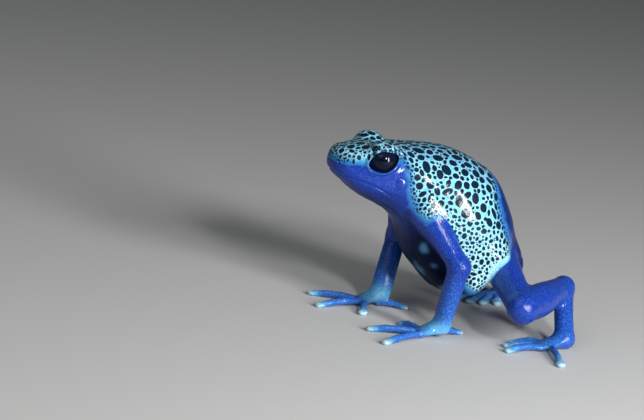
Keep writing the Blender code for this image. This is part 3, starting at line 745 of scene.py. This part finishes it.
def largest_spot(points, depth):
    """The largest radius of a spot: big on the back, less on the head and low on the flank, and growing
    with the depth inside the zone. The flank's base, the snout and the plain patches count as less deep."""
    x, z = points[:, 0], points[:, 2]
    high = ease((z - np.interp(x, *np.array(FINE_BELOW).T)) / 3.5 + 0.5)
    largest = FINE_SPOT + (BIG_SPOT - FINE_SPOT) * high
    largest = np.where(x < -9.5, np.minimum(largest, HEAD_SPOT), largest)
    depth = depth - 0.7 * ease((16.5 - z) / 3) * ease((x + 1) / 2)
    depth = depth - 0.35 * ease((-13.5 - x) / 2)
    for place, reach in PLAIN_PATCHES:
        depth = depth - 1.3 * bell(np.linalg.norm(right_side(points) - place, axis=1) / reach)
    return np.minimum(largest, SMALLEST_SPOT + np.interp(x, (-4, 2), (0.22, 0.34)) * depth)


def scatter_spots(points, facing, depth, spots):
    """Adds spots until the zone is full, the largest first. Each takes the tightest of a few random places
    of the skin at which there is room for it and a gap, and is drawn out at random, mostly up and down."""
    draw = np.random.default_rng(SEED)
    inside = depth > -0.1
    largest = largest_spot(points, depth)[inside]
    points, facing = points[inside], facing[inside]
    room = np.full(len(points), SPOT_REACH)
    closeness = np.where(points[:, 0] < -10, 0.95, 1.0)
    for spot in spots:
        near, edge = near_spot(points, spot)
        room[near] = np.minimum(room[near], edge)
    for radius, most in SPOT_SIZES:
        for _ in range(most):
            gap = draw.uniform(*SPOT_GAP) * closeness
            longer = np.sqrt(draw.uniform(1.0, 1.9))
            fits = (largest >= radius) & (largest < 3.2 * radius + 0.12)
            free = np.flatnonzero((room > radius * np.sqrt(longer) + gap) & fits)
            if not len(free):
                break
            places = draw.choice(free, 10)
            chosen = places[room[places].argmin()]
            level = unit(np.cross(facing[chosen], [0.13, 0.05, 1.0]))
            turn = np.radians(draw.normal(75, 35))
            first = level * np.cos(turn) + np.cross(facing[chosen], level) * np.sin(turn)
            ways = np.array([first / longer, np.cross(facing[chosen], first) * longer, facing[chosen] / 1.5])
            spots.append((points[chosen], ways / radius, radius * longer))
            near, edge = near_spot(points, spots[-1])
            room[near] = np.minimum(room[near], edge)
    return spots


def spot_sets(points, spots):
    """Distance to the edge of the nearest spot, negative inside it, in six sets. Neighbouring spots are in
    unlike sets, so that each set varies evenly between the skin's points where a spot's edge runs, and
    the least of the six, which the material takes, keeps the thin net between the spots."""
    middles = np.array([spot[0] for spot in spots])
    number = np.full(len(spots), -1)
    sets = np.full((len(points), 6), SPOT_REACH)
    for index, spot in enumerate(spots):
        away = np.linalg.norm(middles[:index] - middles[index], axis=1)
        nearest = [away[number[:index] == one].min(initial=99.0) for one in range(6)]
        number[index] = int(np.argmax(nearest))
        near, edge = near_spot(points, spot)
        sets[near, number[index]] = np.minimum(sets[near, number[index]], edge)
    return sets


def limb_share(points):
    """How much each point of the skin belongs to a limb (0 to 1), how pale the limb is there, how far out
    on it the point is, and how far the point is from the nearest leg."""
    body = body_distance(points)
    belongs, paleness, out = np.zeros((3, len(points)))
    from_leg = np.full(len(points), FAR)
    for (kind, _), limb in LIMBS.items():
        distance, reach = limb_distance(points, limb)
        if kind == "leg":
            from_leg = np.minimum(from_leg, distance)
        lean = ease(0.5 + (body - distance) / 0.7)
        ahead = lean > belongs
        belongs = np.where(ahead, lean, belongs)
        out = np.where(ahead, reach, out)
        paleness = np.where(ahead, np.interp(reach, *np.array(LIMB_PALE[kind]).T), paleness)
    return belongs, paleness, out, from_leg


def waves(points, length, seed):
    """A slow random field, within about 1: the sum of sine waves in random directions."""
    draw = np.random.default_rng(seed)
    ways = unit(draw.normal(size=(WAVES, 3))) * 2 * np.pi / (length * draw.uniform(0.6, 1.7, (WAVES, 1)))
    return np.sin(points @ ways.T + draw.uniform(0, FULL_TURN, WAVES)).sum(axis=1) / 4


def eye_rim_painted_highlight(points):
    """How near each point is to the edges of the lids, as a bell curve: where the painted highlight of the
    wet tear line lies along the rims.
    """
    eye = right_side(points) - EYE_CENTRE
    beside, ahead = eye_opening(eye)
    return np.where((ahead > 0) & (np.linalg.norm(eye, axis=1) < 4), bell((beside - 0.12) / 0.10), 0.0)


def skin_zone(points, limb, out, from_leg):
    """How deep inside the pale zone each point is. The zone runs a little way onto a limb's root, its
    border is sharper on the head, and beside a leg it is nowhere deep."""
    x = points[:, 0]
    on_arm = 1.5 - 6.0 * ease((out - 0.05) / 0.35)
    on_leg = 17.0 * (0.36 - out) - 1.2 * np.maximum(x - 8, 0)
    on_limb = np.clip(np.where(x < 4, on_arm, on_leg), -FAR, FAR)
    depth = np.minimum(zone_depth(points), FAR + limb * (on_limb - FAR))
    depth = np.where(depth < 0, depth * (1 + 2 * ease((-12.5 - x) / 3)), depth)
    return np.minimum(depth, PLAIN_BAND + np.maximum(from_leg, 0) + 2 * limb)


def belly_patches(points):
    """1 on the belly's pale patches: ellipsoids whose edges wave."""
    patches = np.zeros(len(points))
    wavy = 0.25 * waves(points, 2.2, SEED)
    for place, size in BELLY_PATCHES:
        away = np.linalg.norm((right_side(points) - place) / size, axis=1) + wavy
        patches = np.maximum(patches, 1 - ease((away - 0.75) / 0.5))
    return patches


def paint_skin(skin, points, facing):
    """Writes the values that the skin's material reads, one for each point."""
    x, z = points[:, 0], points[:, 2]
    edges = read_edges(skin.data)
    limb, paleness, out, from_leg = limb_share(points)
    depth = blur(skin_zone(points, limb, out, from_leg), edges, 2)
    spots = seen_spots(BVHTree.FromObject(skin, bpy.context.evaluated_depsgraph_get()))
    spots = scatter_spots(points, facing, np.minimum(depth, from_leg - PLAIN_BAND), spots)
    sets = spot_sets(points, spots)
    outside = (1 - limb) * ease(-depth / 1.2)
    under = outside * ease((x + 11.5) / 6) * (1 - ease((x - 6.5) / 4))
    # Painted shade: the rump and the throat are darkened towards the belly's navy, whose own darker blue is
    # deepened too.
    rump = ease((x - 6.5) / 2)
    throat_painted_shade = ease((26.3 - z) / 2.5) * ease((-7.5 - x) / 4)
    belly_and_painted_shade = np.maximum(under, outside * np.maximum(0.65 * rump, 0.4 * throat_painted_shade))
    # Painted shade: upward-facing skin behind the head is given a darker blue.
    top_painted_shade = ease((facing[:, 2] - 0.5) / 0.4) * ease((x + 13) / 4)
    values = {"zone": depth, "pale": blur(paleness * limb, edges, 12), "belly": blur(belly_and_painted_shade, edges, 4),
              "patch": blur(belly_patches(points) * under, edges, 2), "limb": blur(limb, edges, 3),
              "top_painted_shade": top_painted_shade, "rim_painted_highlight": eye_rim_painted_highlight(points)}
    for name, value in values.items():
        skin.data.attributes.new(name, "FLOAT", "POINT").data.foreach_set("value", value)
    for name, value in (("spots_a", sets[:, :3]), ("spots_b", sets[:, 3:])):
        skin.data.attributes.new(name, "FLOAT_VECTOR", "POINT").data.foreach_set("vector", value.ravel())


class Wiring:
    """A material's node tree. Each call adds a node and gives back its output."""

    def __init__(self, name):
        self.material = bpy.data.materials.new(name)
        self.material.use_nodes = True
        self.tree = self.material.node_tree
        self.shader = self.tree.nodes["Principled BSDF"]

    def feed(self, socket, value):
        if isinstance(value, bpy.types.NodeSocket):
            self.tree.links.new(value, socket)
        else:
            socket.default_value = value

    def add(self, kind, inputs, output=0, **settings):
        node = self.tree.nodes.new("ShaderNode" + kind)
        for name, value in settings.items():
            setattr(node, name, value)
        for name, value in inputs.items():
            self.feed(node.inputs[name], value)
        return node.outputs[output]

    def sum(self, operation, *values):
        return self.add("Math", dict(enumerate(values)), operation=operation)

    def slide(self, value, start, end, low=0.0, high=1.0):
        """Low up to start, high from end, and a smooth slope between."""
        return self.add("MapRange", {"Value": value, "From Min": start, "From Max": end, "To Min": low,
                                     "To Max": high}, interpolation_type="SMOOTHSTEP")

    def mix(self, share, first, second):
        return self.add("Mix", {0: share, 6: first, 7: second}, 2, data_type="RGBA")

    def attribute(self, name, output="Fac"):
        return self.add("Attribute", {}, output, attribute_name=name)

    def millimetres(self):
        place = self.add("TexCoord", {}, "Object")
        return self.add("VectorMath", {0: place, "Scale": 1 / MM}, operation="SCALE")

    def noise(self, place, per_mm, detail=2.0):
        """A noise round nought, mostly within a quarter."""
        value = self.add("TexNoise", {"Vector": place, "Scale": per_mm, "Detail": detail})
        return self.sum("SUBTRACT", value, 0.5)

    def set(self, **values):
        for name, value in values.items():
            self.feed(self.shader.inputs[name.replace("_", " ")], value)


def spot_edge(wiring, place):
    """Millimetres to the nearest spot's edge: the least of the six sets, made uneven by two noises."""
    least = None
    for name in ("spots_a", "spots_b"):
        parts = wiring.tree.nodes.new("ShaderNodeSeparateXYZ")
        wiring.feed(parts.inputs[0], wiring.attribute(name, "Vector"))
        for part in parts.outputs:
            least = part if least is None else wiring.sum("MINIMUM", least, part)
    uneven = wiring.sum("MULTIPLY_ADD", wiring.noise(place, 1.5), 0.28, least)
    return wiring.sum("MULTIPLY_ADD", wiring.noise(place, 5.0), 0.09, uneven)


def make_skin_material():
    """Wet skin: deep blue, pale blue with black spots inside the zone, and dark under the belly, where the
    belly's own navy is deepened as painted shade. Painted shade also darkens the rump, the throat and the
    zone's upward-facing skin, and a painted highlight lines the lids' rims.
    """
    wiring = Wiring("skin")
    place = wiring.millimetres()
    slow, fine = wiring.noise(place, 0.35), wiring.noise(place, 2.6, 4.0)
    zone = wiring.sum("MULTIPLY_ADD", wiring.noise(place, 0.7, 3.0), 1.4, wiring.attribute("zone"))
    edge = spot_edge(wiring, place)

    grains = wiring.add("TexVoronoi", {"Vector": place, "Scale": 3.2, "Smoothness": 0.3},
                        feature="SMOOTH_F1")
    fleck = wiring.sum("MULTIPLY", wiring.slide(grains, 0.42, 0.12),
                       wiring.sum("MULTIPLY_ADD", wiring.attribute("pale"), 0.7, 0.12))
    blue = wiring.mix(wiring.slide(wiring.attribute("pale"), 0.0, 0.45), DEEP_BLUE, MID_BLUE)
    blue = wiring.mix(wiring.slide(wiring.attribute("pale"), 0.35, 0.8), blue, SKY_BLUE)
    blue = wiring.mix(wiring.slide(wiring.attribute("pale"), 0.75, 1.0), blue, TIP_WHITE)
    blue = wiring.mix(fleck, blue, BACK_CYAN)
    blue = wiring.mix(wiring.slide(fine, -0.02, -0.22, 0.0, 0.55), blue, NIGHT_BLUE)
    # The belly's own navy, deepened as painted shade, with painted shade on the rump and throat.
    blue = wiring.mix(wiring.attribute("belly"), blue, BELLY_NAVY_AND_PAINTED_SHADE)
    blue = wiring.mix(wiring.attribute("patch"), blue, PATCH_BLUE)
    blue = wiring.mix(wiring.slide(zone, -1.0, -0.2), blue, AZURE)
    blue = wiring.mix(wiring.slide(zone, -0.3, 0.4), blue, EDGE_CYAN)

    height = wiring.sum("MULTIPLY_ADD", slow, 6.0, wiring.add("SeparateXYZ", {0: place}, 2))
    pale = wiring.mix(wiring.slide(height, 22.0, 12.0), BACK_CYAN, FLANK_CYAN)
    # Painted shade: a darker blue on the zone's upward-facing skin behind the head.
    pale = wiring.mix(wiring.sum("MULTIPLY", wiring.attribute("top_painted_shade"), 0.65), pale, TOP_PAINTED_SHADE_BLUE)
    pale = wiring.mix(wiring.slide(edge, 0.28, 0.0, 0.0, 0.5), pale, RING_CYAN)
    pale = wiring.mix(wiring.slide(zone, 1.8, 0.2), pale, EDGE_CYAN)
    pale = wiring.mix(wiring.slide(fine, 0.02, -0.15, 0.0, 0.5), pale, AZURE)
    pale = wiring.mix(wiring.slide(edge, 0.07, -0.03), pale, SPOT_BLACK)
    colour = wiring.mix(wiring.slide(zone, -0.35, 0.25), blue, pale)
    # Painted highlight: a pale line along the lids' rims, the glint of the wet tear line.
    colour = wiring.mix(wiring.sum("MULTIPLY", wiring.attribute("rim_painted_highlight"), 0.45), colour, EDGE_CYAN)

    rough = wiring.mix(wiring.attribute("limb"), (0.10,) * 3 + (1,), (0.4,) * 3 + (1,))
    grain = wiring.sum("MULTIPLY", wiring.sum("MULTIPLY_ADD", wiring.noise(place, 9.0), 0.35, grains), rough)
    bump = wiring.add("Bump", {"Height": grain, "Distance": 0.09 * MM, "Strength": 1.0}, invert=True)
    wet = wiring.slide(wiring.attribute("belly"), 0.0, 1.0, 0.55, 0.06)
    wiring.set(Base_Color=colour, Roughness=0.42, Normal=bump, Specular_IOR_Level=0.05,
               Coat_Weight=wet, Coat_IOR=1.5, Coat_Roughness=0.045, Coat_Normal=bump)
    return wiring.material


def make_eye_material():
    """A wet, near-black eye: a black pupil, and an iris of faint violet-blue streaks."""
    wiring = Wiring("eyeball")
    parts = wiring.tree.nodes.new("ShaderNodeSeparateXYZ")
    wiring.feed(parts.inputs[0], wiring.attribute("gaze", "Vector"))
    streaks = wiring.noise(wiring.attribute("gaze", "Vector"), 9.0, 4.0)
    off_middle = wiring.sum("MULTIPLY_ADD", streaks, 0.12, parts.outputs[0])
    iris = wiring.mix(wiring.slide(streaks, -0.2, 0.2), EYE_VIOLET, EYE_BLUE)
    colour = wiring.mix(wiring.slide(off_middle, 0.36, 0.44), EYE_BLACK, iris)
    colour = wiring.mix(wiring.slide(off_middle, 0.75, 1.0), colour, EYE_BLACK)
    wiring.set(Base_Color=colour, Roughness=0.2, Specular_IOR_Level=0.02, Coat_Weight=0.6, Coat_IOR=1.4,
               Coat_Roughness=0.01)
    return wiring.material


def build_eyeball(word, side, material):
    """A ball on a grid of two angles, off the gaze and round it, its radius raised by a bell curve of the
    first angle for the clear front. It carries both angles, as a vector, for the iris."""
    rings, turns = 40, 64
    off = np.linspace(0, np.pi, rings + 1)[1:-1]
    round_gaze = np.linspace(0, 2 * np.pi, turns, endpoint=False)
    off, round_gaze = (grid.ravel() for grid in np.meshgrid(off, round_gaze, indexing="ij"))
    radius = EYE_RADIUS + CORNEA_RISE * bell(off / CORNEA_SPREAD)
    gaze = np.stack([np.sin(off), np.cos(round_gaze), np.sin(round_gaze)], axis=1)
    on_ball = np.stack([gaze[:, 0] * gaze[:, 1], gaze[:, 0] * gaze[:, 2], np.cos(off)], axis=1)
    points = (on_ball * radius[:, None]) @ EYE_WAYS
    poles = np.array([[0, 0, EYE_RADIUS + CORNEA_RISE], [0, 0, -EYE_RADIUS]]) @ EYE_WAYS
    points = (np.vstack([points, poles]) + EYE_CENTRE) * [1, side, 1]
    first = np.arange(turns)
    after = (first + 1) % turns
    start = (np.arange(rings - 2) * turns)[:, None]
    below = start + turns
    quads = np.stack([start + first, below + first, below + after, start + after], axis=-1)
    last, ball = (rings - 2) * turns, (rings - 1) * turns
    caps = [np.stack([np.full(turns, ball), first, after], axis=1),
            np.stack([last + first, np.full(turns, ball + 1), last + after], axis=1)]
    faces = quads.reshape(-1, 4)[:, ::side].tolist() + np.concatenate(caps)[:, ::side].tolist()
    mesh = bpy.data.meshes.new("eyeball_" + word)
    mesh.from_pydata(to_frame(points).tolist(), [], faces)
    gaze = np.vstack([gaze, np.zeros((2, 3))])
    mesh.attributes.new("gaze", "FLOAT_VECTOR", "POINT").data.foreach_set("vector", gaze.ravel())
    mesh.shade_smooth()
    mesh.materials.append(material)
    eyeball = put_object("eyeball_" + word, mesh)
    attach(eyeball, "root")
    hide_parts("eye_" + word)


def set_camera():
    camera = put_object("camera", bpy.data.cameras.new("camera"))
    camera.data.sensor_width = SENSOR
    camera.data.lens = SENSOR * CAMERA_AWAY / (PIXEL * PHOTO[0])
    camera.data.clip_start = 0.01
    camera.matrix_world = Matrix.Translation(to_frame(AIM + BACK * CAMERA_AWAY)) @ Matrix(
        np.stack([RIGHT, UP, BACK], axis=1).tolist()).to_4x4()
    bpy.context.scene.camera = camera


def add_softbox(name, turn, rise, away, wide, high, power):
    back = Vector(away_from_left(turn, rise))
    light = bpy.data.lights.new(name, "AREA")
    light.shape = "RECTANGLE"
    light.size = wide * MM
    light.size_y = high * MM
    light.energy = power
    lamp = put_object(name, light)
    lamp.location = Vector(to_frame(LIT_PLACE)) + back * away * MM
    lamp.rotation_euler = back.to_track_quat("Z", "Y").to_euler()


def set_stage():
    corners = np.array([(-1, -1, 0), (1, -1, 0), (1, 1, 0), (-1, 1, 0)]) * FLOOR_HALF * MM
    mesh = bpy.data.meshes.new("floor")
    mesh.from_pydata(corners.tolist(), [], [(0, 1, 2, 3)])
    wiring = Wiring("pale_floor")
    wiring.set(Base_Color=FLOOR_PALE, Roughness=0.8)
    mesh.materials.append(wiring.material)
    put_object("floor", mesh)
    world = bpy.data.worlds.new("studio")
    world.use_nodes = True
    air = world.node_tree.nodes["Background"]
    air.inputs["Color"].default_value = AIR
    air.inputs["Strength"].default_value = AIR_STRENGTH
    bpy.context.scene.world = world
    bpy.context.scene.view_settings.view_transform = "Standard"
    for name, sizes in SOFTBOXES.items():
        add_softbox(name, *sizes)


skin, skin_points, skin_facing = build_skin()
paint_skin(skin, skin_points, skin_facing)
skin.data.materials.append(make_skin_material())
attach(skin, "root")
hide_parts(*[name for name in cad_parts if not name.startswith("eye")])
eye_material = make_eye_material()
build_eyeball("left", -1, eye_material)
build_eyeball("right", 1, eye_material)
set_camera()
set_stage()
